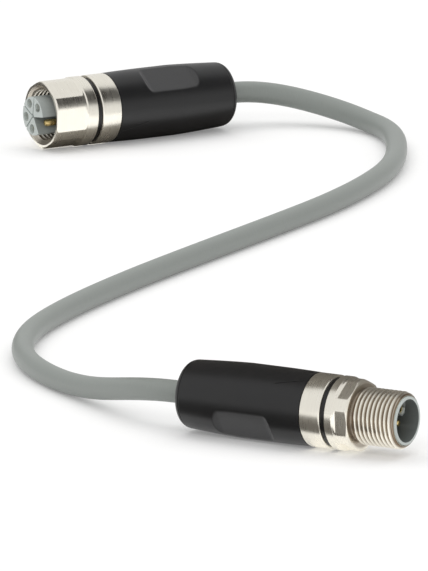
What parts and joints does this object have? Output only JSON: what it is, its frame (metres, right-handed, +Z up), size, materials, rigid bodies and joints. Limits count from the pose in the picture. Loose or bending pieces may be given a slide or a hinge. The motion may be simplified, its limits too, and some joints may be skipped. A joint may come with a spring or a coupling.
{
  "type": "m12 power cordset",
  "caption": "Ready-made M12 power cord: a socket with a hexagonal coupling nut and a plug with a coupling screw, moulded onto the ends of a short round cable.",
  "frame": {"origin": "on the surface that the cord lies on, under the middle of the box round the two connectors", "axes": "+Y runs from the plug to the socket, +Z is up"},
  "size_m": [0.0843, 0.3493, 0.0156],
  "materials": {
    "grip": "moulded, fine grained, dull",
    "housing": "moulded, dull",
    "ring": "nickel-plated brass, turned, satin",
    "coupling": "nickel-plated brass, turned and milled, satin",
    "sleeve": "nickel-plated brass, turned",
    "thrust": "black nylon, slightly glossy",
    "seal": "black fluoro rubber",
    "carrier": "light grey moulded nylon, slightly glossy",
    "contact": "gilded brass",
    "ferrule": "plain brass",
    "cable": "grey polyurethane jacket, satin",
    "core_brown": "core insulation",
    "core_white": "core insulation",
    "core_blue": "core insulation",
    "core_black": "core insulation",
    "core_earth": "core insulation"
  },
  "bodies": {
    "root": {"cable": "cable", "female_grip": "grip", "female_inner_housing": "housing", "female_crimp_ferrule": "ferrule", "female_shell_ring": "ring", "female_thrust_ring": "thrust", "female_contact_carrier": "carrier", "female_core_1": "core_brown", "female_core_2": "core_white", "female_core_3": "core_blue", "female_core_4": "core_black", "female_core_earth": "core_earth", "male_grip": "grip", "male_inner_housing": "housing", "male_crimp_ferrule": "ferrule", "male_shell_ring": "ring", "male_thrust_ring": "thrust", "male_contact_carrier": "carrier", "male_core_1": "core_brown", "male_core_2": "core_white", "male_core_3": "core_blue", "male_core_4": "core_black", "male_core_earth": "core_earth", "female_retainer_sleeve": "sleeve", "female_seal_ring": "seal", "female_earth_pin": "contact", "male_earth_socket": "contact", "female_socket_1": "contact", "female_socket_2": "contact", "female_socket_3": "contact", "female_socket_4": "contact", "male_pin_1": "contact", "male_pin_2": "contact", "male_pin_3": "contact", "male_pin_4": "contact"},
    "nut": {"female_coupling_nut": "coupling"},
    "screw": {"male_coupling_screw": "coupling"}
  },
  "joints": [
    {"name": "nut_spin", "type": "hinge", "parent": "root", "child": "nut", "pos_m": [-0.03798, 0.14457, 0.0078], "axis": [-0.8572, -0.515, 0], "continuous": true},
    {"name": "screw_spin", "type": "hinge", "parent": "root", "child": "screw", "pos_m": [0.03917, -0.1693, 0.0078], "axis": [0.8572, -0.515, 0], "continuous": true}
  ]
}
